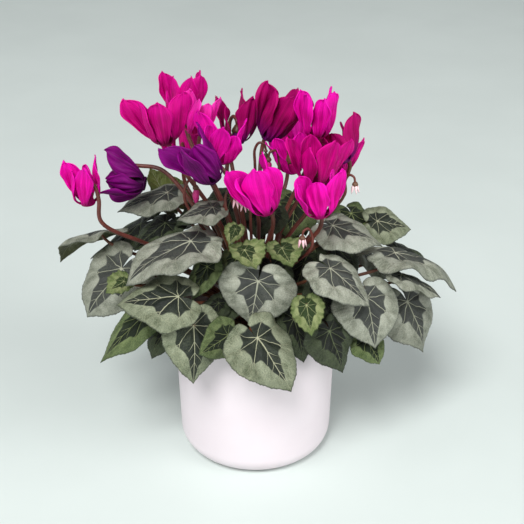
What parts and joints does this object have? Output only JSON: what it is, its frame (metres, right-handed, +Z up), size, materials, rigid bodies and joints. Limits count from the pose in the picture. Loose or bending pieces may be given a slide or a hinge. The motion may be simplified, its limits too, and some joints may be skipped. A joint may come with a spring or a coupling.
{
  "type": "potted cyclamen",
  "caption": "House plant in a plain round planter: heart-shaped silver-marked leaves on long stalks under nodding magenta flowers with swept-back petals.",
  "frame": {"origin": "centre of the planter's flat base, on the surface it stands on", "axes": "+Z up along the planter's axis; -Y is the side the picture shows, +X is to its right"},
  "size_m": [0.3456, 0.2623, 0.3365],
  "materials": {
    "pot": "satin",
    "soil": "matte",
    "stems": "satin",
    "leaf": "satin",
    "petal": "satin"
  },
  "bodies": {
    "root": {"pot": "pot", "soil": "soil", "tuber_and_stems": "stems", "leaf_01": "leaf", "leaf_02": "leaf", "leaf_03": "leaf", "leaf_04": "leaf", "leaf_05": "leaf", "leaf_06": "leaf", "leaf_07": "leaf", "leaf_08": "leaf", "leaf_09": "leaf", "leaf_10": "leaf", "leaf_11": "leaf", "leaf_12": "leaf", "leaf_13": "leaf", "leaf_14": "leaf", "leaf_15": "leaf", "leaf_16": "leaf", "leaf_17": "leaf", "leaf_18": "leaf", "leaf_19": "leaf", "leaf_20": "leaf", "leaf_21": "leaf", "leaf_22": "leaf", "leaf_23": "leaf", "leaf_24": "leaf", "leaf_25": "leaf", "leaf_26": "leaf", "leaf_27": "leaf", "leaf_28": "leaf", "leaf_29": "leaf", "leaf_30": "leaf", "leaf_31": "leaf", "leaf_32": "leaf", "leaf_33": "leaf", "leaf_34": "leaf", "leaf_35": "leaf", "leaf_36": "leaf", "leaf_37": "leaf", "leaf_38": "leaf", "bloom_01": "petal", "bloom_02": "petal", "bloom_03": "petal", "bloom_04": "petal", "bloom_05": "petal", "bloom_06": "petal", "bloom_07": "petal", "bloom_08": "petal", "bloom_09": "petal", "bloom_10": "petal", "bloom_11": "petal", "bloom_12": "petal", "bloom_13": "petal", "bloom_14": "petal", "bloom_15": "petal", "bloom_16": "petal", "bloom_17": "petal", "bloom_18": "petal"}
  },
  "joints": []
}
